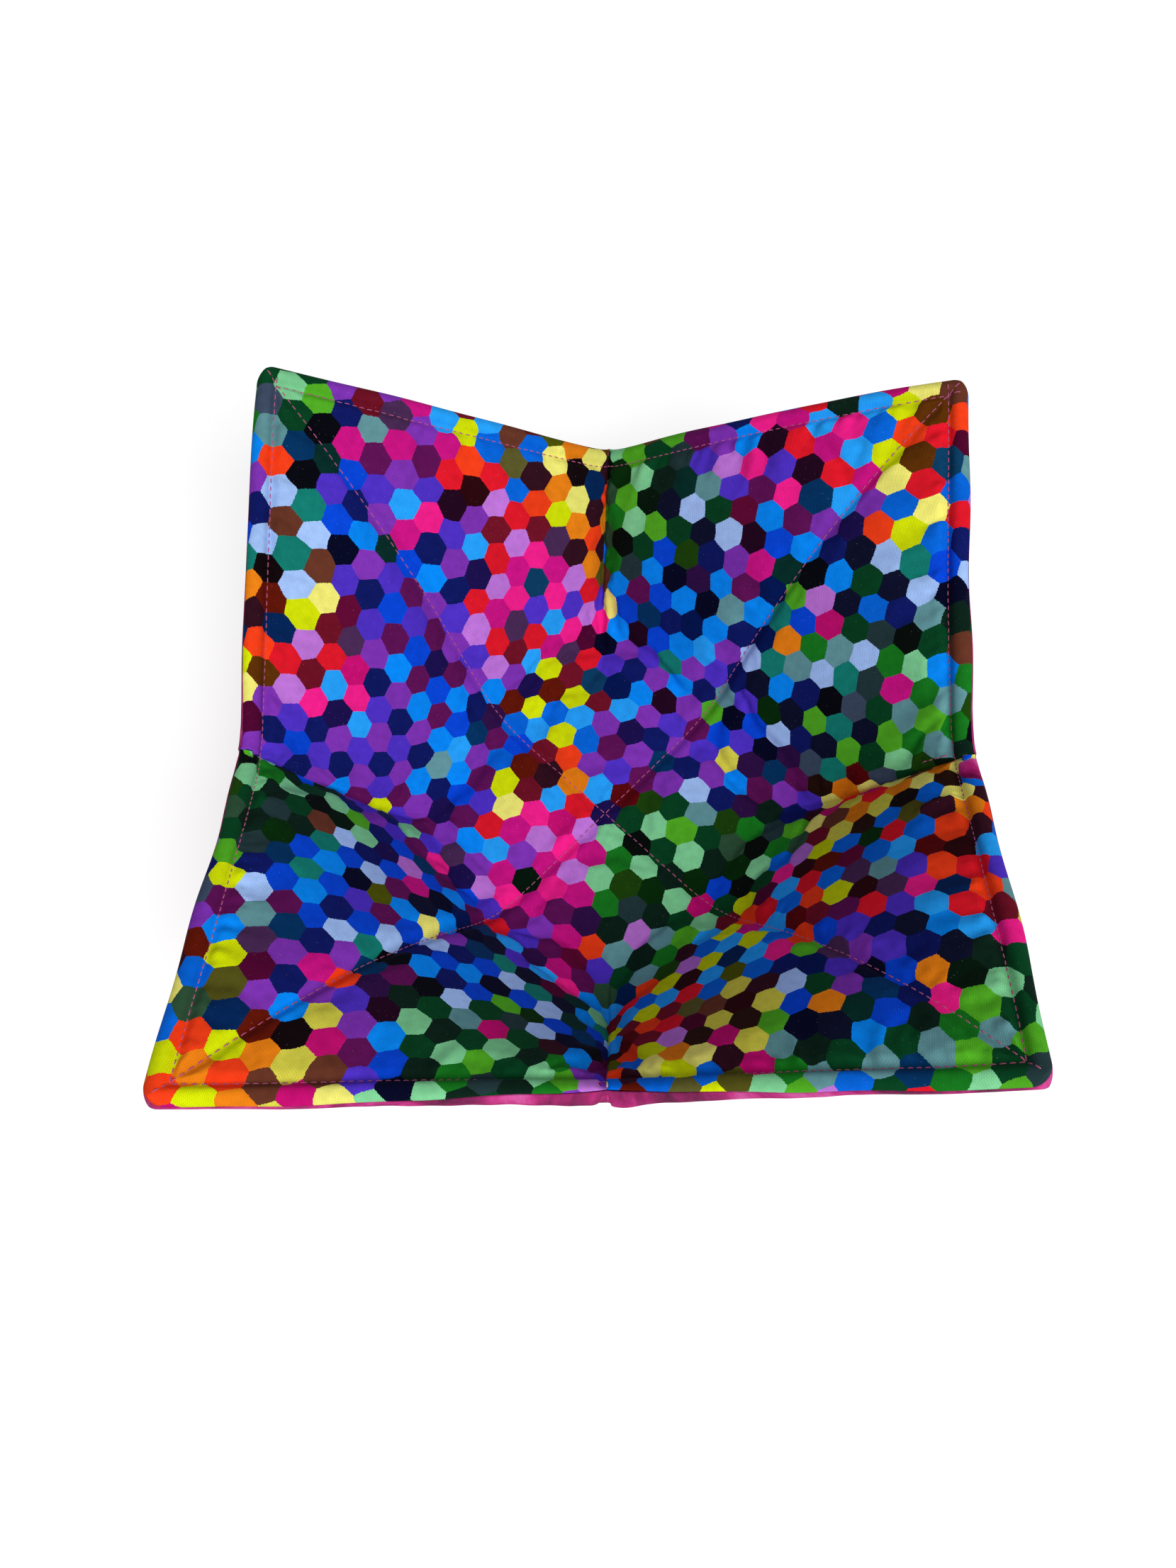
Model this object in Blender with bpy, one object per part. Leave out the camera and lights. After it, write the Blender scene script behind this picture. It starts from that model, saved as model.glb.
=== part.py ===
"""Quilted cloth holder for a hot bowl: a printed inner panel and a plain outer panel of cotton, each with
its own batting and four darts, sewn together round the edge, turned right side out and topstitched.

Metres, +Z up. It stands on its flat base, and the centre of the base's underside is the origin.
A place in the cloth is given by pattern coordinates u and v, each from minus to plus half a side, which
run square to the edges. A height in the cloth is measured from the middle surface between the two
battings: up, towards the bowl, for the inner pieces, and down, away from it, for the outer ones."""

import math

import bmesh
import bpy
import numpy as np

# Flat pattern of both panels, as finished
SIDE = 0.241
CORNER_RADIUS = 0.006
SEAM_ALLOWANCE = 0.00635

# Layers
PANEL = 0.0005
BATTING = 0.00235
GAP = 0.0003

# Rolled edge and stitching
ROLL_WIDTH = 0.004
ROLL_TURNS = (60, 30)
BATTING_END_TURN = 50
TOPSTITCH_INSET = 0.0055
TOPSTITCH_DIP = 0.001
TOPSTITCH_SPREAD = 0.0018
QUILTING_DIP = 0.0012
QUILTING_SPREAD = 0.003
QUILTING_FADE = 0.008
QUILTING_END_INSET = 0.0045
THREAD_RADIUS = 0.00025

# Standing shape: each quarter bends about lines square to its diagonal
BASE_REACH = 0.030
BEND_LENGTH = 0.033
WALL_ANGLE = 55.0
FLARE_ANGLE = 26.0
CREASE_SOFTNESS = 0.003

# How far each corner and each dart of the handmade piece stands from the even shape, and how steeply
# that dies away from the corner and from the dart
CORNER_SHIFTS = {
    (-1, 1): (0.0045, 0.0015, 0.004),
    (1, 1): (0.005, -0.0025, -0.0025),
    (1, -1): (-0.007, -0.0005, 0.004),
    (-1, -1): (-0.005, 0.0, -0.005),
}
DART_SHIFTS = {
    (0, 1): (0.004, 0.007, -0.011),
    (1, 0): (-0.0095, -0.005, 0.0095),
    (0, -1): (-0.002, 0.0155, 0.0155),
    (-1, 0): (0.0105, -0.0005, 0.012),
}
CORNER_FADE = 1.5
DART_FADE_IN = 3
DART_FADE_ASIDE = 1.5

# Fineness of the mesh
CELL = 0.014
FOLD_CLEARANCE = 0.00065
BEND_STEP = 0.00025
NORMAL_STEP = 0.003
THREAD_BEVEL_RESOLUTION = 1

HALF = SIDE / 2
ROOT_TWO = math.sqrt(2)
DIAGONAL = HALF * ROOT_TWO
FULL_HEIGHT = GAP / 2 + BATTING + GAP + PANEL
FOLD_TOP = GAP / 2 + PANEL
FOLD_END = SEAM_ALLOWANCE + FOLD_CLEARANCE
BATTING_DEPTH = PANEL + GAP

COTTON_PRINT = (0.35, 0.42, 0.40)
COTTON_PLUM = (0.42, 0.05, 0.16)
BATTING_WHITE = (0.86, 0.84, 0.78)
THREAD_PINK = (0.72, 0.25, 0.42)


def smooth_step(value):
    value = np.clip(value, 0.0, 1.0)
    return value * value * (3 - 2 * value)


def bend_tables():
    """Distance along the cloth from the centre, on a quarter's diagonal, with its reach and its rise."""
    along = np.arange(0.0, DIAGONAL * 1.1, BEND_STEP)
    bent = BASE_REACH + BEND_LENGTH
    rising = WALL_ANGLE * smooth_step((along - BASE_REACH) / BEND_LENGTH)
    easing = FLARE_ANGLE * smooth_step((along - bent) / (DIAGONAL - bent))
    slope = np.radians(rising - easing)
    middle = (slope[1:] + slope[:-1]) / 2
    reach = np.concatenate([[0.0], np.cumsum(np.cos(middle)) * BEND_STEP])
    rise = np.concatenate([[0.0], np.cumsum(np.sin(middle)) * BEND_STEP])
    return along, reach, rise


ALONG, REACH, RISE = bend_tables()


def dart_take(distance):
    """Half the cloth that a dart takes in, at a distance from the centre along its own axis."""
    return float(np.interp(distance, (ALONG + REACH) / ROOT_TWO, (ALONG - REACH) / ROOT_TWO))


def middle_point(u, v):
    """Point of the middle surface at pattern coordinates u and v."""
    side_x = 1 if u >= 0 else -1
    side_y = 1 if v >= 0 else -1
    s = abs(u) / HALF
    t = abs(v) / HALF
    flat_x = abs(u) + dart_take(abs(v)) * (1 - s)
    flat_y = abs(v) + dart_take(abs(u)) * (1 - t)
    along = (flat_x + flat_y) / ROOT_TWO
    across = (flat_x - flat_y) / ROOT_TWO
    reach = float(np.interp(along, ALONG, REACH))
    x = (reach + across) / ROOT_TWO
    y = (reach - across) / ROOT_TWO
    softened = (math.hypot(x, CREASE_SOFTNESS) + math.hypot(y, CREASE_SOFTNESS)) / ROOT_TWO
    z = FULL_HEIGHT + float(np.interp(softened, REACH, RISE))
    point = np.array([side_x * x, side_y * y, z])
    s = min(s, 1.0)
    t = min(t, 1.0)
    shift = (s * t) ** CORNER_FADE * np.array(CORNER_SHIFTS[side_x, side_y])
    shift += s ** DART_FADE_IN * (1 - t) ** DART_FADE_ASIDE * np.array(DART_SHIFTS[side_x, 0])
    shift += t ** DART_FADE_IN * (1 - s) ** DART_FADE_ASIDE * np.array(DART_SHIFTS[0, side_y])
    return point + shift * smooth_step((along - BASE_REACH) / BEND_LENGTH)


def cloth_point(u, v, height):
    """Point at a height above the middle surface, along its normal."""
    along_u = middle_point(u + NORMAL_STEP, v) - middle_point(u - NORMAL_STEP, v)
    along_v = middle_point(u, v + NORMAL_STEP) - middle_point(u, v - NORMAL_STEP)
    normal = np.cross(along_u, along_v)
    return middle_point(u, v) + normal / np.linalg.norm(normal) * height


def edge_distance(u, v):
    return HALF - max(abs(u), abs(v))


def topstitched_height(inset):
    """Height of the outside of a panel near the edge, pulled down along the topstitching."""
    return FULL_HEIGHT - TOPSTITCH_DIP * math.exp(-((inset - TOPSTITCH_INSET) / TOPSTITCH_SPREAD) ** 2)


def skin_height(u, v, quilted):
    """Height of the outside of a panel. The quilting dips it too, up to the folded seam allowance."""
    inset = edge_distance(u, v)
    height = topstitched_height(inset)
    if quilted:
        from_diagonal = (abs(u) - abs(v)) / ROOT_TWO / QUILTING_SPREAD
        dip = QUILTING_DIP * math.exp(-from_diagonal ** 2) * smooth_step((inset - FOLD_END) / QUILTING_FADE)
        height = min(height, FULL_HEIGHT - float(dip))
    return height


def batting_floor(u, v):
    """Height of a batting's inner face: it lies over the seam allowance, which is folded in."""
    over_fold = edge_distance(u, v) < FOLD_END + GAP
    return FOLD_TOP + GAP if over_fold else GAP / 2


def grid_lines():
    """Pattern coordinates of the grid's lines: even cells, with lines along the stitching and the roll."""
    last_even = HALF - FOLD_END - (TOPSTITCH_INSET - ROLL_WIDTH)
    cells = max(2, round(last_even / CELL))
    half_lines = [last_even * step / cells for step in range(1, cells + 1)]
    half_lines += [HALF - FOLD_END, HALF - TOPSTITCH_INSET, HALF - ROLL_WIDTH]
    return [-line for line in reversed(half_lines)] + [0.0] + half_lines


LINES = grid_lines()
COUNT = len(LINES)


def rim_indices():
    """Grid indices round the rim, counter-clockwise seen from above."""
    last = COUNT - 1
    indices = [(i, 0) for i in range(last)]
    indices += [(last, j) for j in range(last)]
    indices += [(i, last) for i in range(last, 0, -1)]
    indices += [(0, j) for j in range(last, 0, -1)]
    return indices


def ring_place(i, j, inset):
    """Pattern coordinates of a rim point moved to a given distance from the edge, round at the corners."""
    half = HALF - inset
    scale = half / LINES[-1]
    place = [LINES[i] * scale, LINES[j] * scale]
    radius = max(CORNER_RADIUS - inset, 0.0)
    main = 0 if abs(place[0]) >= abs(place[1]) else 1
    other = 1 - main
    beyond = abs(place[other]) - (half - radius)
    if radius > 0 and beyond > 0:
        angle = math.radians(45) * beyond / radius
        place[main] = math.copysign(half - radius + radius * math.cos(angle), place[main])
        place[other] = math.copysign(half - radius + radius * math.sin(angle), place[other])
    return place


def roll_point(depth, degrees):
    """Inset and height of a point of the rolled edge, on a surface at a depth below the skin."""
    turn = math.radians(degrees)
    inset = depth + (ROLL_WIDTH - depth) * (1 - math.cos(turn))
    return inset, (topstitched_height(ROLL_WIDTH) - depth) * math.sin(turn)


def add_sheet(mesh, heights, side, facing):
    """Adds a grid of triangles whose diagonals point to the corners, and returns its vertices."""
    verts = [[mesh.verts.new(cloth_point(u, v, side * heights(u, v))) for v in LINES] for u in LINES]
    for i in range(COUNT - 1):
        for j in range(COUNT - 1):
            square = [verts[i][j], verts[i + 1][j], verts[i + 1][j + 1], verts[i][j + 1]]
            if (LINES[i] >= 0) == (LINES[j] >= 0):
                triangles = [(0, 1, 2), (0, 2, 3)]
            else:
                triangles = [(0, 1, 3), (1, 2, 3)]
            for triangle in triangles:
                corners = [square[k] for k in triangle]
                mesh.faces.new(corners if facing > 0 else corners[::-1])
    return verts


def add_layer(name, outside, inside, section, side, colour):
    """Makes a closed layer: a sheet on each face, joined round the rim through the points of a section."""
    mesh = bmesh.new()
    outer = add_sheet(mesh, outside, side, side)
    inner = add_sheet(mesh, inside, side, -side)
    loops = [[outer[i][j] for i, j in rim_indices()]]
    for inset, height in section:
        places = [ring_place(i, j, inset) for i, j in rim_indices()]
        loops.append([mesh.verts.new(cloth_point(u, v, side * height)) for u, v in places])
    loops.append([inner[i][j] for i, j in rim_indices()])
    for upper, lower in zip(loops, loops[1:]):
        for k in range(len(upper)):
            following = (k + 1) % len(upper)
            first = [upper[k], lower[k], lower[following]]
            second = [upper[k], lower[following], upper[following]]
            for triangle in (first, second):
                mesh.faces.new(triangle if side > 0 else triangle[::-1])
    data = bpy.data.meshes.new(name)
    mesh.to_mesh(data)
    mesh.free()
    finish_object(name, data, colour)


def finish_object(name, data, colour):
    """Puts a piece in the scene with its own material."""
    piece = bpy.data.objects.new(name, data)
    bpy.context.scene.collection.objects.link(piece)
    material = bpy.data.materials.new(name)
    material.use_nodes = True
    shader = material.node_tree.nodes["Principled BSDF"]
    shader.inputs["Base Color"].default_value = (*colour, 1.0)
    shader.inputs["Roughness"].default_value = 0.9
    shader.inputs["Metallic"].default_value = 0.0
    data.materials.append(material)


def panel(name, side, quilted, colour):
    """A cotton panel: it covers its batting, rolls over the edge and ends in the folded seam allowance."""
    section = [roll_point(0.0, turn) for turn in ROLL_TURNS]
    section += [(0.0, GAP / 2), (SEAM_ALLOWANCE, GAP / 2), (SEAM_ALLOWANCE, FOLD_TOP), (PANEL, FOLD_TOP)]
    section += [roll_point(PANEL, turn) for turn in reversed(ROLL_TURNS)]
    add_layer(
        name,
        lambda u, v: skin_height(u, v, quilted),
        lambda u, v: skin_height(u, v, quilted) - PANEL,
        section,
        side,
        colour,
    )


def batting(name, side, quilted):
    """A batting: it fills its panel up to the roll."""
    end_inset, end_height = roll_point(BATTING_DEPTH, BATTING_END_TURN)
    section = [(end_inset, end_height), (end_inset, FOLD_TOP + GAP)]
    add_layer(
        name,
        lambda u, v: skin_height(u, v, quilted) - BATTING_DEPTH,
        batting_floor,
        section,
        side,
        BATTING_WHITE,
    )


def thread(name, points, closed):
    """A sewing thread: one continuous strand along its stitch line."""
    curve = bpy.data.curves.new(name, "CURVE")
    curve.dimensions = "3D"
    curve.bevel_depth = THREAD_RADIUS
    curve.bevel_resolution = THREAD_BEVEL_RESOLUTION
    curve.use_fill_caps = not closed
    spline = curve.splines.new("POLY")
    spline.points.add(len(points) - 1)
    for spot, point in zip(spline.points, points):
        spot.co = (*point, 1.0)
    spline.use_cyclic_u = closed
    finish_object(name, curve, THREAD_PINK)


def thread_height(u, v, quilted, crossings):
    """Height of a thread's centre over the skin, with one more thread's width for each strand it crosses."""
    return skin_height(u, v, quilted) + (GAP + THREAD_RADIUS) + crossings * (GAP + 2 * THREAD_RADIUS)


def topstitch(name, side, quilted):
    """The seam sewn round the finished edge, on one face of the holder."""
    stitch_line = LINES.index(HALF - TOPSTITCH_INSET)
    low, high = COUNT - 1 - stitch_line, stitch_line
    indices = [(i, low) for i in range(low, high)]
    indices += [(high, j) for j in range(low, high)]
    indices += [(i, high) for i in range(high, low, -1)]
    indices += [(low, j) for j in range(high, low, -1)]
    points = []
    for i, j in indices:
        u, v = LINES[i], LINES[j]
        at_corner = quilted and i in (low, high) and j in (low, high)
        height = thread_height(u, v, quilted, 1 if at_corner else 0)
        points.append(cloth_point(u, v, side * height))
    thread(name, points, True)


def quilting_line(name, slant, over_at_centre):
    """One of the two lines quilted from corner to corner through the inner panel and its batting."""
    reach = HALF - QUILTING_END_INSET
    spots = [-reach] + [line for line in LINES if abs(line) < reach] + [reach]
    points = []
    for spot in spots:
        crossings = 1 if over_at_centre and spot == 0.0 else 0
        height = thread_height(spot, slant * spot, True, crossings)
        points.append(cloth_point(spot, slant * spot, height))
    thread(name, points, False)


def clear_scene():
    for old in list(bpy.data.objects):
        bpy.data.objects.remove(old, do_unlink=True)


def main():
    clear_scene()
    panel("inner_panel", 1, True, COTTON_PRINT)
    batting("inner_batting", 1, True)
    batting("outer_batting", -1, False)
    panel("outer_panel", -1, False, COTTON_PLUM)
    topstitch("topstitch_needle_thread", 1, True)
    topstitch("topstitch_bobbin_thread", -1, False)
    quilting_line("quilting_thread_rising", 1, False)
    quilting_line("quilting_thread_falling", -1, True)


main()
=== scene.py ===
"""Looks of the quilted cloth holder: two cotton covers over two pads, their stitches, and a plain studio.

Metres, +Z up, in the frame's own axes. A place in the cloth is given by pattern coordinates u and v, each
from minus to plus half a side, square to the edges. A height in the cloth is measured from the middle
surface between the two pads: up for the inner pieces, side 1, and down for the outer ones, side -1."""

import math

import bpy
import numpy as np
from mathutils import Matrix


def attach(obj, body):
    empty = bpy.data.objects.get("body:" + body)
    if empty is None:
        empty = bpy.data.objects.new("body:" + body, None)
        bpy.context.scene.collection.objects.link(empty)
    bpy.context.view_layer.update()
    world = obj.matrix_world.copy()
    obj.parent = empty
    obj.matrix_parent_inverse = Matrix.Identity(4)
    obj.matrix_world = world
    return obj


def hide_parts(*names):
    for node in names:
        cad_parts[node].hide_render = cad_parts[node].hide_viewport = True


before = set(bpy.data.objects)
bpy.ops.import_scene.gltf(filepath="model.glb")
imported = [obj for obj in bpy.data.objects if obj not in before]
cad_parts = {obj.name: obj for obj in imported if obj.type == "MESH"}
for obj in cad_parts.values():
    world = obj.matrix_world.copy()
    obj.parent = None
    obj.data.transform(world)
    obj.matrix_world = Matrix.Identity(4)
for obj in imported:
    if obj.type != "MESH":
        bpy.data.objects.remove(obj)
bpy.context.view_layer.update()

# Flat pattern and layers of the frame
SIDE = 0.241
CORNER_RADIUS = 0.006
SEAM_ALLOWANCE = 0.00635
PANEL = 0.0005
BATTING = 0.00235
GAP = 0.0003
ROLL_WIDTH = 0.004
TOPSTITCH_INSET = 0.0055
FOLD_SLACK = 0.00065

# Standing shape of the frame
BASE_REACH = 0.030
BEND_LENGTH = 0.033
WALL_ANGLE = 55.0
FLARE_ANGLE = 26.0
CREASE_SOFTNESS = 0.003
CORNER_SHIFTS = [
    [(-0.005, 0.0, -0.005), (0.0045, 0.0015, 0.004)],
    [(-0.007, -0.0005, 0.004), (0.005, -0.0025, -0.0025)],
]
DART_SHIFTS_X = [(0.0105, -0.0005, 0.012), (-0.0095, -0.005, 0.0095)]
DART_SHIFTS_Y = [(-0.002, 0.0155, 0.0155), (0.004, 0.007, -0.011)]
CORNER_FADE = 1.5
DART_FADE_IN = 3
DART_FADE_ASIDE = 1.5
BEND_STEP = 0.00025
BEND_SPARE = 1.1
NORMAL_STEP = 0.003

# Cloth relief
TOPSTITCH_DIP = 0.0016
TOPSTITCH_SPREAD = 0.0014
QUILTING_DIP = 0.0012
QUILTING_SPREAD = 0.0024
QUILTING_FADE = 0.004
DART_DIP = 0.0018
DART_SPREAD = 0.0018
DART_LEAN = 0.55
DART_LEANS_X = (1, 1)
DART_LEANS_Y = (1, 0)
DART_LAP = 0.0011
DART_LAP_CREST = 0.0009
DART_TIP = 0.050
DART_FADE = 0.012
ROLL_TURNS = (76, 62, 48, 34, 20, 8)
INNER_ROLL_TURNS = (30, 60)
RIPPLE = 0.0001
RIPPLE_LENGTH = 0.007
RIPPLE_SEED = 11
PUCKER = 0.00035
PUCKER_LENGTH = 0.0046
PUCKER_SEED = 17
PUCKER_REACH = 0.0048
PUCKER_FADE = 0.002
PUCKER_CORNER = 0.006
PUCKER_SLANT = 0.3
GATHER = 0.0005
GATHER_LENGTH = 0.011
GATHER_SEED = 29
GATHER_REACH = 0.017
EDGE_WAVE = 0.0003
EDGE_WAVE_LENGTH = 0.04
EDGE_WAVE_SEED = 5

# Fold beside the right-hand dart
PINCH_START = (0.099, -0.026)
PINCH_END = (0.117, -0.0195)
PINCH_HEIGHT = 0.0019
PINCH_SPREAD = 0.0018
PINCH_FADE = 0.007
PINCH_CLEARANCE = 1.5

# Outer cloth that shows at the end of the right-hand dart, at a place in the flat cloth
PATCH_PLACE = (0.121, -0.0195, 0.0)
PATCH_RADIUS = 0.0056
PATCH_RAGGEDNESS = 0.004

# Edge seam, which lies a little to the inner side, more along the near edge, and bulges at the near dart
SEAM_RISE = 0.0003
NEAR_SEAM_RISE = 0.0011
NEAR_SEAM_REACH = 0.036
NEAR_SEAM_MIDDLE = -0.008
BULGE = 0.0013
BULGE_PLACE = 0.0055
BULGE_WIDTH = 0.0042
BULGE_DEPTH = 0.004

# Cloth simulation
SIM_COUNT = 145
SIM_SCALE = 10.0
SIM_FRAMES = 20
SIM_GROWTH = -0.02
SIM_PRESSURE = 0.5
SIM_HOLD = 0.02
SIM_SEAM_WIDTH = 0.0012
SIM_RIPPLE = 0.0001
SIM_RIPPLE_LENGTH = 0.014
SIM_RIPPLE_SEED = 3
RELIEF_CAP = 0.0015

# Fineness
FINE_CELL = 0.0004
EDGE_CELL = 0.0005
CELL = 0.00102
FINE_BAND = 0.0024
EDGE_BAND = 0.0068
PAD_CELL = 0.002
PAD_REACH = 0.0012
PAD_LEAST = 0.00002
PAD_ROLL_TURN = 50

# Stitches
STITCH_PITCH = 0.0023
STITCH_SHARE = 0.76
STITCH_RADIUS = 0.00016
STITCH_RINGS = 7
STITCH_SIDES = 6
STITCH_WANDER = 0.00008
STITCH_JITTER = 0.07
STITCH_ROUNDING = 0.6
STITCH_RISE = 2.2
STITCH_SINK = 1.4
STITCH_END_WIDTH = 0.75

# Ends of the rows, past their corners or short of the edge, and the closing row at the right-hand dart
LEFT_OVERRUN = 0.0022
RIGHT_OVERRUN = 0.0034
BACK_OVERRUN = 0.0036
BACK_START = (0.0004, 0.0006)
QUILTING_END = 0.0022
DART_ROW_START = 0.0155
DART_ROW_END = 0.0065
DART_ROW_ASIDE = 0.002
DART_ROW_SPREAD = 1.1

# Cloth and print
THREAD = 0.00038
TWIST = 0.0005
WEAVE_TURN = 8
RIB_HEIGHT = 0.26
CROSSING_HEIGHT = 0.24
FIBRE_HEIGHT = 0.5
CREASE_HEIGHT = 0.8
PRINT_SPAN = 0.26
HEXAGON = 0.0081
PRINT_TURN = 12.5
WANDER = 0.004
FRAY = 0.0005

# Random ripples
NOISE_WAVES = 7
NOISE_LENGTHS = (0.7, 1.5)
NOISE_PEAK = 1.5

# Shared values
TINY = 1e-9
MM_IN_METRE = 1000
HALF = SIDE / 2
ROOT_TWO = math.sqrt(2)
ROOT_THREE = math.sqrt(3)
DIAGONAL = HALF * ROOT_TWO
FULL_HEIGHT = GAP / 2 + BATTING + GAP + PANEL
FOLD_TOP = GAP / 2 + PANEL
FOLD_END = SEAM_ALLOWANCE + FOLD_SLACK
BATTING_DEPTH = PANEL + GAP


def smooth_step(value):
    value = np.clip(value, 0.0, 1.0)
    return value * value * (3 - 2 * value)


def bell(distance, spread):
    return np.exp(-((distance / spread) ** 2))


def bend_tables():
    """Distance along the cloth from the centre, on a quarter's diagonal, with its reach and its rise."""
    along = np.arange(0.0, DIAGONAL * BEND_SPARE, BEND_STEP)
    bent = BASE_REACH + BEND_LENGTH
    rising = WALL_ANGLE * smooth_step((along - BASE_REACH) / BEND_LENGTH)
    easing = FLARE_ANGLE * smooth_step((along - bent) / (DIAGONAL - bent))
    slope = np.radians(rising - easing)
    middle = (slope[1:] + slope[:-1]) / 2
    reach = np.concatenate([[0.0], np.cumsum(np.cos(middle)) * BEND_STEP])
    rise = np.concatenate([[0.0], np.cumsum(np.sin(middle)) * BEND_STEP])
    return along, reach, rise


ALONG, REACH, RISE = bend_tables()


def dart_take(distance):
    """Half the cloth that a dart takes in, at a distance from the centre along its own axis."""
    return np.interp(distance, (ALONG + REACH) / ROOT_TWO, (ALONG - REACH) / ROOT_TWO)


def flat_places(u, v):
    """Where pattern coordinates of one quarter, both positive, lie in the flat cloth with its darts open."""
    return u + dart_take(v) * (1 - u / HALF), v + dart_take(u) * (1 - v / HALF)


def middle_points(u, v):
    """Points of the middle surface between the two pads."""
    right = (u >= 0).astype(int)
    back = (v >= 0).astype(int)
    flat_x, flat_y = flat_places(np.abs(u), np.abs(v))
    along = (flat_x + flat_y) / ROOT_TWO
    across = (flat_x - flat_y) / ROOT_TWO
    reach = np.interp(along, ALONG, REACH)
    x = (reach + across) / ROOT_TWO
    y = (reach - across) / ROOT_TWO
    softened = (np.hypot(x, CREASE_SOFTNESS) + np.hypot(y, CREASE_SOFTNESS)) / ROOT_TWO
    z = FULL_HEIGHT + np.interp(softened, REACH, RISE)
    points = np.stack([(2 * right - 1) * x, (2 * back - 1) * y, z], axis=-1)
    s = np.minimum(np.abs(u) / HALF, 1.0)[..., None]
    t = np.minimum(np.abs(v) / HALF, 1.0)[..., None]
    shift = (s * t) ** CORNER_FADE * np.array(CORNER_SHIFTS)[right, back]
    shift += s**DART_FADE_IN * (1 - t) ** DART_FADE_ASIDE * np.array(DART_SHIFTS_X)[right]
    shift += t**DART_FADE_IN * (1 - s) ** DART_FADE_ASIDE * np.array(DART_SHIFTS_Y)[back]
    return points + shift * smooth_step((along - BASE_REACH) / BEND_LENGTH)[..., None]


def cloth_normals(u, v):
    along_u = middle_points(u + NORMAL_STEP, v) - middle_points(u - NORMAL_STEP, v)
    along_v = middle_points(u, v + NORMAL_STEP) - middle_points(u, v - NORMAL_STEP)
    normals = np.cross(along_u, along_v)
    return normals / np.linalg.norm(normals, axis=-1, keepdims=True)


def cloth_points(u, v, height):
    """Points at a height above the middle surface, along its normals."""
    return middle_points(u, v) + cloth_normals(u, v) * height[..., None]


def edge_distance(u, v):
    return HALF - np.maximum(np.abs(u), np.abs(v))


def ring_places(u, v, inset):
    """Pattern places moved out to the ring at an inset from the edge, which is round at its corners."""
    half = HALF - inset
    radius = np.maximum(CORNER_RADIUS - inset, 0.0)
    straight = half - radius
    scale = half / np.maximum(np.maximum(np.abs(u), np.abs(v)), TINY)
    far = np.maximum(np.abs(u), np.abs(v)) * scale
    near = np.minimum(np.abs(u), np.abs(v)) * scale
    turn = np.radians(45) * (near - straight) / np.maximum(radius, TINY)
    rounded = (radius > 0) & (near > straight)
    turn = np.where(rounded, turn, 0.0)
    far = np.where(rounded, straight + radius * np.cos(turn), far)
    near = np.where(rounded, straight + radius * np.sin(turn), near)
    main_u = np.abs(u) >= np.abs(v)
    return np.copysign(np.where(main_u, far, near), u), np.copysign(np.where(main_u, near, far), v)


def soft_noise(u, v, wavelength, seed):
    """An irregular smooth ripple, mostly between -1 and 1."""
    random = np.random.default_rng(seed)
    total = np.zeros(np.shape(u))
    for _ in range(NOISE_WAVES):
        heading, phase = random.uniform(0, 2 * math.pi, 2)
        length = wavelength * random.uniform(*NOISE_LENGTHS)
        total += np.sin((u * math.cos(heading) + v * math.sin(heading)) * 2 * math.pi / length + phase)
    return total * math.sqrt(2 / NOISE_WAVES) / NOISE_PEAK


def dart_dip(across, along, leans):
    """A dart's valley. It is steep on the side that lies over the other, leans[along > 0] times across."""
    over = np.sign(across) * np.where(along > 0, leans[1], leans[0])
    spread = DART_SPREAD * (1 - DART_LEAN * over)
    return DART_DIP * bell(across, spread) * smooth_step((np.abs(along) - DART_TIP) / DART_FADE)


def pinch_place(u, v):
    """How far a place lies within the length of the fold by the right-hand dart, and how far across it."""
    start, end = np.array(PINCH_START), np.array(PINCH_END)
    length = np.linalg.norm(end - start)
    along_x, along_y = (end - start) / length
    along = (u - start[0]) * along_x + (v - start[1]) * along_y
    across = (v - start[1]) * along_x - (u - start[0]) * along_y
    return smooth_step(along / PINCH_FADE) * smooth_step((length - along) / PINCH_FADE), across


def pinch_fold(u, v):
    """A soft fold in the inner cover's right-hand near flap: a ridge with a crease on its inner side."""
    inside, across = pinch_place(u, v)
    crest = bell(across + PINCH_SPREAD, PINCH_SPREAD)
    crease = bell(across, PINCH_SPREAD / 2)
    return PINCH_HEIGHT * inside * (crest - crease)


def puckers(u, v, inset):
    """Gathers on the inner side of the topstitching, short ones and broad ones, and none at the corners."""
    along = np.where(np.abs(u) > np.abs(v), v, u) + PUCKER_SLANT * inset
    clear = smooth_step(np.abs(np.abs(u) - np.abs(v)) / PUCKER_CORNER)
    clear = clear * smooth_step((inset - TOPSTITCH_INSET) / PUCKER_FADE)
    short = PUCKER * soft_noise(along, 0.0, PUCKER_LENGTH, PUCKER_SEED)
    broad = GATHER * soft_noise(along, 0.0, GATHER_LENGTH, GATHER_SEED)
    beyond = inset - TOPSTITCH_INSET
    return clear * (short * bell(beyond, PUCKER_REACH) + broad * bell(beyond, GATHER_REACH))


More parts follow.
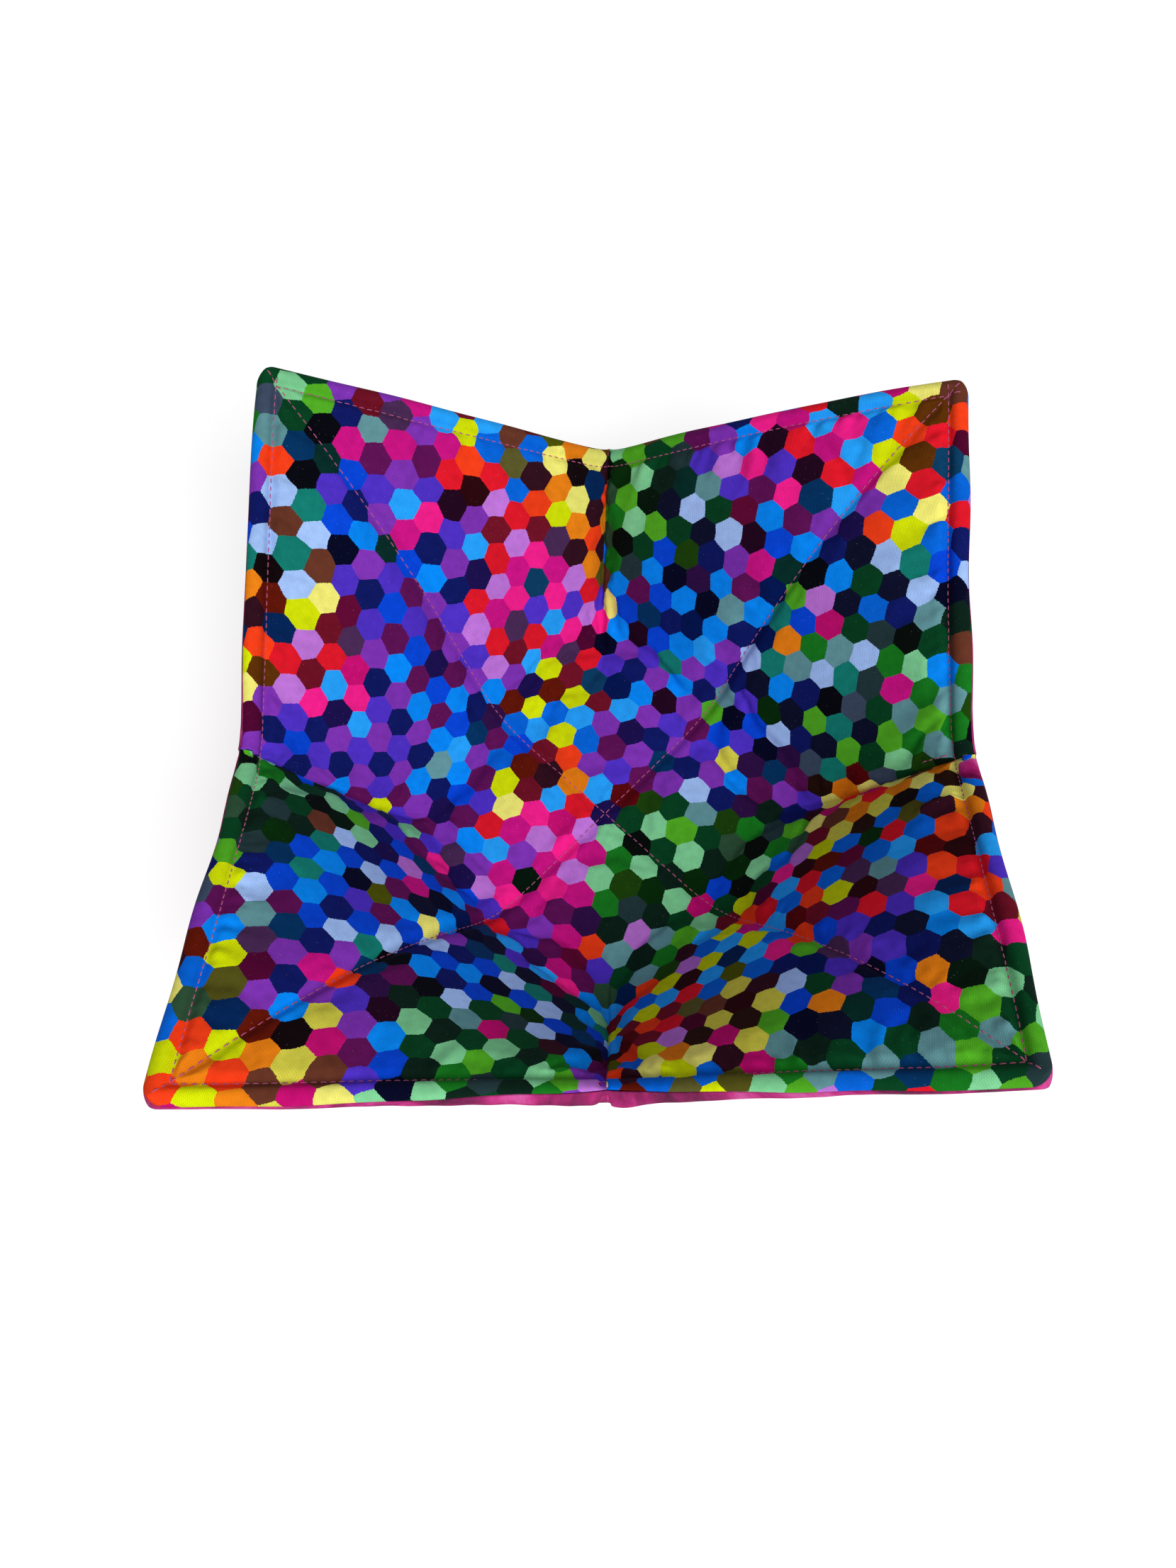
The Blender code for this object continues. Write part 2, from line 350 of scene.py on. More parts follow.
def cloth_height(u, v, fold):
    """Height of a cover's outside: rolled at the edge, and pulled down along its stitching and darts."""
    inset = edge_distance(u, v)
    topstitch = TOPSTITCH_DIP * bell(inset - TOPSTITCH_INSET, TOPSTITCH_SPREAD)
    quilting = QUILTING_DIP * bell((np.abs(u) - np.abs(v)) / ROOT_TWO, QUILTING_SPREAD)
    quilting = quilting * smooth_step((inset - ROLL_WIDTH) / QUILTING_FADE)
    darts = np.maximum(dart_dip(u, v, DART_LEANS_Y), dart_dip(v, u, DART_LEANS_X))
    ripple = RIPPLE * soft_noise(u, v, RIPPLE_LENGTH, RIPPLE_SEED)
    ripple = ripple * bell(inset - ROLL_WIDTH / 2, ROLL_WIDTH / 2)
    height = FULL_HEIGHT + ripple + puckers(u, v, inset) - np.maximum(np.maximum(topstitch, quilting), darts)
    rolled = np.clip((ROLL_WIDTH - inset) / ROLL_WIDTH, 0.0, 1.0)
    return (height + fold) * np.sqrt(1 - rolled**2)


def skin_height(u, v, side):
    return cloth_height(u, v, pinch_fold(u, v) if side > 0 else 0.0)


def pad_height(u, v, side):
    """Height of a pad's outside. It keeps below the lowest places near it, clear of narrow valleys."""
    inside, across = pinch_place(u, v)
    sunk = PINCH_HEIGHT * inside * bell(across, PINCH_SPREAD * PINCH_CLEARANCE)
    if side < 0:
        sunk = 0.0
    heights = [cloth_height(u, v, -sunk)]
    for aside in (-PAD_REACH, PAD_REACH):
        heights += [cloth_height(u + aside, v, -sunk), cloth_height(u, v + aside, -sunk)]
    return np.minimum.reduce(heights) - BATTING_DEPTH


def seam_rise(u, v, heights, side):
    """How far the edge pulls a layer to the inner side of the cloth, as a height on the layer's own side."""
    near = bell(HALF + v, ROLL_WIDTH * 2) * bell(u - NEAR_SEAM_MIDDLE, NEAR_SEAM_REACH)
    share = np.clip(1 - edge_distance(u, v) / TOPSTITCH_INSET, 0.0, 1.0) * (1 - heights / FULL_HEIGHT)
    rise = side * (SEAM_RISE + NEAR_SEAM_RISE * near) * share
    if side < 0:
        bulge = bell(u - BULGE_PLACE, BULGE_WIDTH) * bell(HALF + v, BULGE_DEPTH)
        rise += BULGE * bulge * heights / FULL_HEIGHT
    return rise


def dart_lap(u, v):
    """Sideways shift of the cloth beside a dart, where one side's edge laps over the valley."""
    shifts = []
    for across, along, leans in ((u, v, DART_LEANS_Y), (v, u, DART_LEANS_X)):
        lean = np.where(along > 0, leans[1], leans[0])
        reach = smooth_step((np.abs(along) - DART_TIP) / DART_FADE)
        reach = reach * smooth_step(edge_distance(u, v) / ROLL_WIDTH)
        shifts.append(-lean * DART_LAP * reach * bell(across - lean * DART_LAP_CREST, DART_LAP_CREST))
    return shifts


def half_lines(cell, fine_cell, fine_band, edge_cell, edge_band, steps):
    """Grid lines from the centre to the roll, an even number of cells, finer by the darts and the edge."""
    last = HALF - ROLL_WIDTH
    fine = np.arange(1, round(fine_band / fine_cell) + 1) * fine_cell
    edge = last - np.arange(round(edge_band / edge_cell), -1, -1) * edge_cell
    between = round((edge[0] - fine[-1]) / cell)
    between += (len(fine) + len(edge) - 1 + between) % steps
    inside = np.linspace(fine[-1], edge[0], between + 1)[1:-1]
    return np.concatenate([fine, inside, edge])


def mirrored(lines):
    return np.concatenate([-lines[::-1], [0.0], lines])


def rim(values):
    """Values of a square grid round its rim, counter-clockwise seen from above."""
    return np.concatenate([values[:-1, 0], values[-1, :-1], values[:0:-1, -1], values[0, :0:-1]])


def cubic_weights(share):
    """Catmull-Rom weights of the four samples round a place."""
    return (
        (-share + 2 * share**2 - share**3) / 2,
        (2 - 5 * share**2 + 3 * share**3) / 2,
        (share + 4 * share**2 - 3 * share**3) / 2,
        (share**3 - share**2) / 2,
    )


def relief_at(relief, u, v):
    """The simulated displacement at pattern places."""
    last = len(relief) - 1
    spots, weights = [], []
    for value in (u, v):
        place = np.clip((value / (HALF - ROLL_WIDTH) + 1) / 2 * last, 0, last)
        spot = np.clip(np.floor(place).astype(int), 0, last - 1)
        spots.append(spot)
        weights.append(cubic_weights(place - spot))
    total = np.zeros(np.shape(u) + (3,))
    for i in range(4):
        for j in range(4):
            row = np.clip(spots[0] + i - 1, 0, last)
            column = np.clip(spots[1] + j - 1, 0, last)
            total += (weights[0][i] * weights[1][j])[..., None] * relief[row, column]
    return total


def grid_faces(index, facing):
    quads = np.stack([index[:-1, :-1], index[1:, :-1], index[1:, 1:], index[:-1, 1:]], axis=-1)
    quads = quads.reshape(-1, 4)
    return quads if facing > 0 else quads[:, ::-1]


def band_faces(upper, lower, facing):
    quads = np.stack([upper, lower, np.roll(lower, -1), np.roll(upper, -1)], axis=-1)
    return quads if facing > 0 else quads[:, ::-1]


def fan_faces(fine, coarse, facing):
    """Joins a ring to one with half as many points."""
    first, middle, last = fine[0::2], fine[1::2], np.roll(fine, -2)[0::2]
    following = np.roll(coarse, -1)
    triangles = [(first, coarse, middle), (coarse, following, middle), (middle, following, last)]
    faces = np.concatenate([np.stack(triangle, axis=-1) for triangle in triangles])
    return faces if facing > 0 else faces[:, ::-1]


def simulated_relief(name, side):
    """How a simulated cloth puffs and puckers a coarse copy of a cover between its held seams."""
    lines = np.linspace(-1, 1, SIM_COUNT) * (HALF - ROLL_WIDTH)
    u, v = np.meshgrid(lines, lines, indexing="ij")
    start = cloth_points(u, v, side * skin_height(u, v, side))
    ripple = SIM_RIPPLE * soft_noise(u, v, SIM_RIPPLE_LENGTH, SIM_RIPPLE_SEED)
    start += cloth_normals(u, v) * ripple[..., None]
    start = start.reshape(-1, 3) * SIM_SCALE
    faces = grid_faces(np.arange(u.size).reshape(u.shape), side)
    mesh = bpy.data.meshes.new(name)
    mesh.from_pydata(start.tolist(), [], faces.tolist())
    cloth = bpy.data.objects.new(name, mesh)
    bpy.context.scene.collection.objects.link(cloth)
    inset = edge_distance(u, v)
    seams = np.minimum(np.abs(np.abs(u) - np.abs(v)) / ROOT_TWO, np.maximum(inset - TOPSTITCH_INSET, 0))
    for across, along in ((u, v), (v, u)):
        seams = np.minimum(seams, np.hypot(across, np.maximum(DART_TIP - np.abs(along), 0)))
    held = np.where(seams < SIM_SEAM_WIDTH, 1.0, SIM_HOLD).ravel()
    group = cloth.vertex_groups.new(name="held")
    for weight in (1.0, SIM_HOLD):
        group.add(np.flatnonzero(held == weight).tolist(), weight, "REPLACE")
    settings = cloth.modifiers.new("cloth", "CLOTH").settings
    settings.vertex_group_mass = group.name
    settings.effector_weights.gravity = 0
    settings.use_pressure = True
    settings.uniform_pressure_force = SIM_PRESSURE
    settings.shrink_min = SIM_GROWTH
    scene = bpy.context.scene
    for step in range(1, SIM_FRAMES + 1):
        scene.frame_set(step)
    settled = cloth.evaluated_get(bpy.context.evaluated_depsgraph_get()).data
    end = np.zeros(start.size)
    settled.vertices.foreach_get("co", end)
    scene.frame_set(1)
    bpy.data.objects.remove(cloth, do_unlink=True)
    moved = (end.reshape(-1, 3) - start) / SIM_SCALE
    length = np.maximum(np.linalg.norm(moved, axis=1, keepdims=True), TINY)
    moved *= np.minimum(1.0, RELIEF_CAP / length)
    return moved.reshape(u.shape + (3,))


def link_mesh(name, points, faces, material, uvs):
    """Puts a piece in the scene. It rides on the one body."""
    mesh = bpy.data.meshes.new(name)
    mesh.from_pydata(points.tolist(), [], [face for group in faces for face in group.tolist()])
    mesh.uv_layers.new(name="pattern").data.foreach_set("uv", uvs.ravel())
    mesh.materials.append(material)
    mesh.shade_smooth()
    piece = bpy.data.objects.new(name, mesh)
    bpy.context.scene.collection.objects.link(piece)
    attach(piece, "root")
    return piece


def print_uvs(faces, print_u, print_v):
    """Each face's corners in the flat cloth, where every quarter ends at its own dart edges."""
    uvs = []
    for group in faces:
        u, v = print_u[group], print_v[group]
        side_x = np.where(u.mean(axis=1) >= 0, 1.0, -1.0)[:, None]
        side_y = np.where(v.mean(axis=1) >= 0, 1.0, -1.0)[:, None]
        flat_x, flat_y = flat_places(np.abs(u), np.abs(v))
        uv = np.stack([side_x * flat_x, side_y * flat_y], axis=-1)
        uvs.append(uv.reshape(-1, 2) / PRINT_SPAN + 0.5)
    return np.concatenate(uvs)


def layer_piece(name, side, lines, outside, section, inside, inside_step, relief, material, laps):
    """A closed layer of the cloth: a sheet on each face, joined round the rim through a section's points.

    The outer layers are pressed flat where they rest."""
    points, print_u, print_v, faces = [], [], [], []
    count = 0

    def add(u, v, heights, from_u, from_v):
        nonlocal count
        wave = EDGE_WAVE * soft_noise(u, v, EDGE_WAVE_LENGTH, EDGE_WAVE_SEED)
        wave = wave * bell(edge_distance(u, v), ROLL_WIDTH)
        scale = 1 + wave / np.maximum(np.hypot(u, v), TINY)
        heights = heights + seam_rise(u, v, heights, side)
        lap_u, lap_v = dart_lap(u, v) if laps else (0.0, 0.0)
        placed = cloth_points(u * scale + lap_u, v * scale + lap_v, side * heights)
        placed += relief_at(relief, u, v)
        if side < 0:
            placed[..., 2] = np.maximum(placed[..., 2], FULL_HEIGHT - heights)
        points.append(placed.reshape(-1, 3))
        print_u.append(from_u.ravel())
        print_v.append(from_v.ravel())
        index = np.arange(count, count + u.size).reshape(u.shape)
        count += u.size
        return index

    def add_grid(grid_lines, heights, facing):
        u, v = np.meshgrid(grid_lines, grid_lines, indexing="ij")
        u, v = ring_places(u, v, edge_distance(u, v))
        index = add(u, v, heights(u, v), u, v)
        faces.append(grid_faces(index, facing))
        return rim(index)

    upper = add_grid(lines, outside, side)
    square_u, square_v = (rim(grid) for grid in np.meshgrid(lines, lines, indexing="ij"))
    gone = 0.0
    last_inset, last_height = ROLL_WIDTH, FULL_HEIGHT
    for inset, height in section:
        u, v = ring_places(square_u, square_v, np.full(square_u.shape, inset))
        ring_height = skin_height(u, v, side) if height is None else np.full(u.shape, height)
        gone += math.hypot(inset - last_inset, float(ring_height.mean()) - last_height)
        last_inset, last_height = inset, float(ring_height.mean())
        from_u, from_v = ring_places(square_u, square_v, np.full(square_u.shape, ROLL_WIDTH - gone))
        lower = add(u, v, ring_height, from_u, from_v)
        faces.append(band_faces(upper, lower, side))
        upper = lower
    lower = add_grid(lines[::inside_step], inside, -side)
    faces.append(fan_faces(upper, lower, side) if inside_step == 2 else band_faces(upper, lower, side))
    uvs = print_uvs(faces, np.concatenate(print_u), np.concatenate(print_v))
    return link_mesh(name, np.concatenate(points), faces, material, uvs)


def roll_point(depth, degrees):
    """Inset and height of a point of the rolled edge, on a surface at a depth below the skin."""
    turn = math.radians(degrees)
    inset = depth + (ROLL_WIDTH - depth) * (1 - math.cos(turn))
    return inset, (FULL_HEIGHT - depth) * math.sin(turn)


def cover(name, side, relief, material):
    """A cotton cover: it lies over its pad, rolls over the edge and ends in the folded seam allowance."""
    half = half_lines(CELL, FINE_CELL, FINE_BAND, EDGE_CELL, EDGE_BAND, steps=2)
    section = [(roll_point(0.0, turn)[0], None) for turn in ROLL_TURNS]
    section += [(0.0, GAP / 2), (SEAM_ALLOWANCE, GAP / 2), (SEAM_ALLOWANCE, FOLD_TOP), (PANEL, FOLD_TOP)]
    section += [roll_point(PANEL, turn) for turn in INNER_ROLL_TURNS]
    return layer_piece(
        name,
        side,
        mirrored(half),
        lambda u, v: skin_height(u, v, side),
        section,
        lambda u, v: skin_height(u, v, side) - PANEL,
        inside_step=2,
        relief=relief,
        material=material,
        laps=side > 0,
    )


def pad(name, side, relief, material):
    """A batting: it fills its cover up to the roll, and lies over the folded seam allowance."""
    half = half_lines(PAD_CELL, PAD_CELL, PAD_CELL, EDGE_CELL * 2, EDGE_BAND, steps=1)
    end_inset, end_height = roll_point(BATTING_DEPTH, PAD_ROLL_TURN)

    def floor_height(u, v):
        return np.where(edge_distance(u, v) < FOLD_END + GAP, FOLD_TOP + GAP, GAP / 2)

    return layer_piece(
        name,
        side,
        mirrored(half),
        lambda u, v: np.maximum(pad_height(u, v, side), floor_height(u, v) + PAD_LEAST),
        [(end_inset, end_height), (end_inset, FOLD_TOP + GAP)],
        floor_height,
        inside_step=1,
        relief=relief,
        material=material,
        laps=False,
    )


def stitches(name, side, runs, relief, material, seed):
    """Rows of separate stitches. Each one lies on the cloth and dips into it at both ends."""
    random = np.random.default_rng(seed)
    starts, ends = [], []
    for run in runs:
        for start, end in zip(run, run[1:]):
            start, end = np.array(start), np.array(end)
            length = np.linalg.norm(end - start)
            count = max(1, round(length / STITCH_PITCH))
            marks = np.arange(count + 1.0)
            marks[1:-1] += random.uniform(-STITCH_JITTER, STITCH_JITTER, count - 1)
            row = start + (end - start) * (marks / count)[:, None]
            aside = np.array([start[1] - end[1], end[0] - start[0]]) / length
            row += aside * random.uniform(-STITCH_WANDER, STITCH_WANDER, count + 1)[:, None]
            starts.append(row[:-1])
            ends.append(row[1:])
    starts, ends = np.concatenate(starts), np.concatenate(ends)
    share = np.linspace(0, 1, STITCH_RINGS)
    spot = (1 - STITCH_SHARE) / 2 + STITCH_SHARE * share
    places = starts[:, None] + (ends - starts)[:, None] * spot[None, :, None]
    u, v = places[..., 0], places[..., 1]
    arch = np.sin(math.pi * share) ** STITCH_ROUNDING
    lift = STITCH_RADIUS * (STITCH_RISE * arch - STITCH_SINK)
    lap_u, lap_v = dart_lap(u, v) if side > 0 else (0.0, 0.0)
    centres = cloth_points(u + lap_u, v + lap_v, side * (skin_height(u, v, side) + lift))
    centres += relief_at(relief, u, v)
    along = np.gradient(centres, axis=1)
    along /= np.linalg.norm(along, axis=-1, keepdims=True)
    aside = np.cross(along, cloth_normals(u, v))
    aside /= np.linalg.norm(aside, axis=-1, keepdims=True)
    upward = np.cross(aside, along)
    angles = np.arange(STITCH_SIDES) * 2 * math.pi / STITCH_SIDES
    width = STITCH_END_WIDTH + (1 - STITCH_END_WIDTH) * arch
    radius = STITCH_RADIUS * width[None, :, None, None]
    around = aside[:, :, None] * np.cos(angles)[:, None] + upward[:, :, None] * np.sin(angles)[:, None]
    rings = centres[:, :, None] + around * radius
    count = len(starts)
    index = np.arange(count * STITCH_RINGS * STITCH_SIDES).reshape(count, STITCH_RINGS, STITCH_SIDES)
    turned = np.roll(index, -1, axis=2)
    sides = np.stack([index[:, :-1], turned[:, :-1], turned[:, 1:], index[:, 1:]], axis=-1).reshape(-1, 4)
    faces = [sides, index[:, 0, ::-1], index[:, -1]]
    lengthwise = np.broadcast_to(share[None, :, None], index.shape).ravel() * STITCH_PITCH
    turnwise = np.broadcast_to(angles[None, None], index.shape).ravel() / (2 * math.pi)
    turnwise = turnwise * STITCH_RADIUS * STITCH_SIDES
    uvs = np.concatenate([
        np.stack([lengthwise[group], turnwise[group]], axis=-1).reshape(-1, 2) for group in faces
    ])
    return link_mesh(name, rings.reshape(-1, 3), faces, material, uvs)


def srgb(red, green, blue):
    """A colour as the eye reads it, 0 to 255, in the linear values that a shader takes."""
    values = np.array([red, green, blue]) / 255
    linear = np.where(values <= 0.04045, values / 12.92, ((values + 0.055) / 1.055) ** 2.4)
    return (*linear.tolist(), 1.0)


# Dyes of the print, in a ring where neighbours go together. A hexagon's place picks one of a row's three.
DYES = [
    srgb(4, 30, 20), srgb(18, 112, 26), srgb(122, 200, 144),
    srgb(78, 166, 32), srgb(0, 60, 28), srgb(94, 144, 150),
    srgb(158, 190, 242), srgb(14, 120, 108), srgb(6, 10, 38),
    srgb(0, 132, 238), srgb(8, 20, 92), srgb(0, 66, 206),
    srgb(76, 46, 190), srgb(90, 12, 80), srgb(122, 48, 172),
    srgb(196, 14, 126), srgb(184, 112, 208), srgb(238, 28, 136),
    srgb(108, 12, 34), srgb(34, 156, 242), srgb(218, 20, 38),
    srgb(0, 98, 212), srgb(236, 60, 20), srgb(202, 216, 0),
    srgb(226, 124, 16), srgb(232, 226, 112), srgb(44, 8, 24),
    srgb(190, 8, 108), srgb(208, 202, 70), srgb(98, 50, 34),
]
DYES_IN_ROW = 3.0
DYE_WINDOW = 5.4
STRAY_SHARE = 0.1
DARK_SHARE = 0.2
DARK_DROP = 0.86
FIELD_JITTER = 1.3
CHANCE_SHIFT = (31.7, 17.3, 5.1)
WEAR = 1.1
WORN_GAIN = 1.9
WORN_LIFT = 0.004
SHADE_LEAST = 0.76
SHADE_RANGE = 0.14
CLOUD_LEAST = 0.92
CLOUD_RANGE = 0.16
PLUM_WEAR = 0.14

# Fields of the print: a place in the flat cloth in millimetres, and the dye that its window centres on
FIELDS = [
    (-114, 112, 3.0), (-104, 102, 9.5), (-90, 90, 10.5), (-112, 86, 9.5), (-110, 70, 7.5),
    (-84, 108, 15.5), (-70, 96, 16.0), (-54, 112, 21.0), (-34, 114, 25.0), (-16, 108, 26.0),
    (-112, 56, 24.0), (-104, 42, 17.0), (-114, 36, 24.0), (-112, 18, 12.0),
    (-74, 66, 12.0), (-40, 74, 17.0), (-60, 30, 12.0),
    (24, 112, 2.5), (42, 104, 5.0), (58, 108, 14.0), (72, 98, 13.0), (86, 112, 18.0),
    (90, 98, 17.5), (102, 106, 21.5), (114, 114, 25.5), (112, 94, 19.5), (106, 80, 22.0),
    (84, 84, 12.0), (98, 74, 6.5), (106, 64, 9.5), (94, 58, 4.5), (106, 44, 2.5), (108, 26, 3.5),
    (72, 50, 7.0), (44, 66, 11.0), (30, 30, 12.0),
    (106, -16, 27.0), (112, -30, 24.5), (98, -40, 21.5), (106, -56, 21.0), (90, -58, 19.0),
    (108, -72, 19.5), (92, -74, 11.0), (78, -76, 13.5), (100, -88, 7.5), (108, -104, 2.5),
    (92, -108, 3.0), (76, -98, 8.0), (62, -108, 3.0), (46, -102, 27.0), (26, -110, 24.5), (14, -100, 21.0),
    (50, -60, 20.0),
    (-112, -20, 2.5), (-112, -40, 2.5), (-104, -52, 9.5), (-98, -68, 10.5), (-112, -66, 10.0),
    (-112, -88, 25.5), (-102, -84, 13.5), (-106, -106, 24.0), (-90, -112, 26.5), (-84, -90, 11.5),
    (-74, -106, 12.5), (-58, -106, 3.5), (-36, -108, 2.5), (-18, -102, 9.0), (-12, -114, 14.5),
    (-60, -66, 9.5), (-56, -20, 13.0), (-22, -28, 17.0), (-18, 20, 22.0), (20, -24, 3.0),
]

# Inputs and output of a mix node, by what it blends
MIX_SOCKETS = {"FLOAT": (2, 3, 0), "VECTOR": (4, 5, 1), "RGBA": (6, 7, 2)}


def new_material(name):
    material = bpy.data.materials.new(name)
    material.use_nodes = True
    tree = material.node_tree
    return material, tree, tree.nodes["Principled BSDF"]


def feed(tree, socket, value):
    """Links a node's output to a socket, or sets the socket's own value."""
    if isinstance(value, bpy.types.NodeSocket):
        tree.links.new(value, socket)
    elif value is not None:
        socket.default_value = value


def set_inputs(tree, made, inputs):
    for key, value in inputs.items():
        feed(tree, made.inputs[key], value)


def node(tree, kind, inputs=None, **settings):
    made = tree.nodes.new(kind)
    for key, value in settings.items():
        setattr(made, key, value)
    set_inputs(tree, made, inputs or {})
    return made


def calculate(tree, operation, first, second=None, third=None):
    made = node(tree, "ShaderNodeMath", {0: first, 1: second, 2: third}, operation=operation)
    return made.outputs[0]


def vector(tree, operation, first, second=None):
    made = node(tree, "ShaderNodeVectorMath", {0: first, 1: second}, operation=operation)
    return made.outputs["Value" if operation in ("DISTANCE", "LENGTH") else "Vector"]


def scaled_colour(tree, colour, scale):
    made = node(tree, "ShaderNodeVectorMath", {0: colour, "Scale": scale}, operation="SCALE")
    return made.outputs[0]


def mix(tree, kind, share, first, second):
    """A blend of two values, vectors or colours."""
    first_input, second_input, output = MIX_SOCKETS[kind]
    inputs = {0: share, first_input: first, second_input: second}
    return node(tree, "ShaderNodeMix", inputs, data_type=kind).outputs[output]


def map_range(tree, value, start, end):
    """A value moved from one range to another, and kept within it."""
    made = node(tree, "ShaderNodeMapRange", {0: value, 1: start[0], 2: start[1], 3: end[0], 4: end[1]})
    return made.outputs[0]


def flat_cloth(tree):
    """Place in the flat cloth, in metres from its centre."""
    uv = node(tree, "ShaderNodeUVMap", uv_map="pattern").outputs["UV"]
    centred = vector(tree, "SUBTRACT", uv, (0.5, 0.5, 0.0))
    return vector(tree, "MULTIPLY", centred, (PRINT_SPAN, PRINT_SPAN, 0.0))


def woven(tree, place):
    """Height of a ribbed weave, 0 to 1: fine ribs one way, broken by the threads that cross them."""
    turned = node(tree, "ShaderNodeVectorRotate", {"Vector": place, "Angle": math.radians(WEAVE_TURN)})
    scaled = vector(tree, "MULTIPLY", turned.outputs[0], (2 * math.pi / THREAD, math.pi / THREAD, 0.0))
    parts = node(tree, "ShaderNodeSeparateXYZ", {0: scaled})
    rib = calculate(tree, "SINE", parts.outputs[0])
    half_turn = calculate(tree, "MULTIPLY", parts.outputs[0], 0.5)
    crossing = calculate(tree, "MULTIPLY", calculate(tree, "SINE", half_turn),
                         calculate(tree, "SINE", parts.outputs[1]))
    height = calculate(tree, "MULTIPLY_ADD", rib, RIB_HEIGHT, 0.5)
    return calculate(tree, "MULTIPLY_ADD", crossing, CROSSING_HEIGHT, height)


def noise(tree, place, scale, detail=2.0, roughness=0.5, distortion=0.0):
    inputs = {
        "Vector": place, "Scale": scale, "Detail": detail, "Roughness": roughness, "Distortion": distortion,
    }
    return node(tree, "ShaderNodeTexNoise", inputs)


def scatter(tree, place, scale, detail, reach):
    """A smooth random shift, up to half a reach each way."""
    colour = noise(tree, place, scale, detail).outputs["Color"]
    return vector(tree, "MULTIPLY", vector(tree, "SUBTRACT", colour, (0.5, 0.5, 0.5)), (reach, reach, 0.0))


def add_bump(tree, shader, height, distance, strength):
    bump = node(tree, "ShaderNodeBump", {"Height": height, "Distance": distance, "Strength": strength})
    tree.links.new(bump.outputs[0], shader.inputs["Normal"])


def cloth_bump(tree, shader, place, weave):
    """Ribs, fibres and small creases."""
    fibres = noise(tree, place, scale=1500.0, detail=3.0).outputs["Fac"]
    creases = noise(tree, place, scale=160.0, detail=3.0).outputs["Fac"]
    fine = calculate(tree, "MULTIPLY_ADD", fibres, FIBRE_HEIGHT, weave)
    height = calculate(tree, "MULTIPLY_ADD", creases, CREASE_HEIGHT, fine)
    add_bump(tree, shader, height, distance=0.00008, strength=0.6)


def lattice_centre(tree, place, offset):
    """Nearest point of a rectangular lattice, and its distance. Two such lattices make the hexagons."""
    step = (ROOT_THREE, 1.0, 1.0)
    shifted = vector(tree, "SUBTRACT", place, offset)
    cell = vector(tree, "FLOOR", vector(tree, "ADD", vector(tree, "DIVIDE", shifted, step), (0.5, 0.5, 0.5)))
    centre = vector(tree, "ADD", vector(tree, "MULTIPLY", cell, step), offset)
    return centre, vector(tree, "DISTANCE", place, centre)


def neighbour_class(tree, centre):
    """0, 1 or 2, and never the same for two hexagons that touch, so that each keeps its outline."""
    parts = node(tree, "ShaderNodeSeparateXYZ", {0: centre})
    number = calculate(tree, "MULTIPLY_ADD", parts.outputs[0], -ROOT_THREE, parts.outputs[1])
    return calculate(tree, "FLOORED_MODULO", calculate(tree, "ROUND", number), DYES_IN_ROW)


def marbled(tree, place):
    """The outer cloth's dye: magenta and plum clouds."""
    clouds = noise(tree, place, scale=52.0, detail=5.0, roughness=0.62, distortion=0.5).outputs["Fac"]
    ramp = node(tree, "ShaderNodeValToRGB", {0: clouds})
    stops = [
        (0.30, srgb(62, 6, 38)), (0.42, srgb(120, 12, 74)), (0.50, srgb(160, 22, 100)),
        (0.58, srgb(196, 44, 128)), (0.68, srgb(214, 92, 164)),
    ]
    elements = ramp.color_ramp.elements
    for number, (position, colour) in enumerate(stops):
        element = elements[number] if number < 2 else elements.new(position)
        element.position = position
        element.color = colour
    return ramp.outputs["Color"]


def mosaic_centre(tree, place):
    """Centre of the hexagon that a place lies in, counted in hexagons. Their edges wander and fray."""
    wandered = vector(tree, "ADD", place, scatter(tree, place, scale=75.0, detail=1.0, reach=WANDER))
    wandered = vector(tree, "ADD", wandered, scatter(tree, place, scale=2600.0, detail=1.0, reach=FRAY))
    turned = node(tree, "ShaderNodeVectorRotate", {"Vector": wandered, "Angle": -math.radians(PRINT_TURN)})
    lattice = vector(tree, "DIVIDE", turned.outputs[0], (HEXAGON, HEXAGON, 1.0))
    first, first_distance = lattice_centre(tree, lattice, (0.0, 0.0, 0.0))
    second, second_distance = lattice_centre(tree, lattice, (ROOT_THREE / 2, 0.5, 0.0))
    nearer = calculate(tree, "LESS_THAN", second_distance, first_distance)
    return mix(tree, "VECTOR", nearer, first, second)


def field_dye(tree, centre):
    """The dye that the field nearest to a hexagon centres on. The fields' edges are ragged."""
    chance = node(tree, "ShaderNodeTexWhiteNoise", {"Vector": centre}, noise_dimensions="3D")
    jitter = vector(tree, "SUBTRACT", chance.outputs["Color"], (0.5, 0.5, 0.5))
    jitter = vector(tree, "MULTIPLY", jitter, (FIELD_JITTER, FIELD_JITTER, 0.0))
    looked_up = vector(tree, "ADD", centre, jitter)
    angle = -math.radians(PRINT_TURN)
    nearest, window = None, None
    for x, y, dye in FIELDS:
        spot = (
            (x * math.cos(angle) - y * math.sin(angle)) / MM_IN_METRE / HEXAGON,
            (x * math.sin(angle) + y * math.cos(angle)) / MM_IN_METRE / HEXAGON,
            0.0,
        )
        distance = vector(tree, "DISTANCE", looked_up, spot)
        if nearest is None:
            nearest, window = distance, float(dye)
            continue
        closer = calculate(tree, "LESS_THAN", distance, nearest)
        window = mix(tree, "FLOAT", closer, window, float(dye))
        nearest = calculate(tree, "MINIMUM", distance, nearest)
    return window


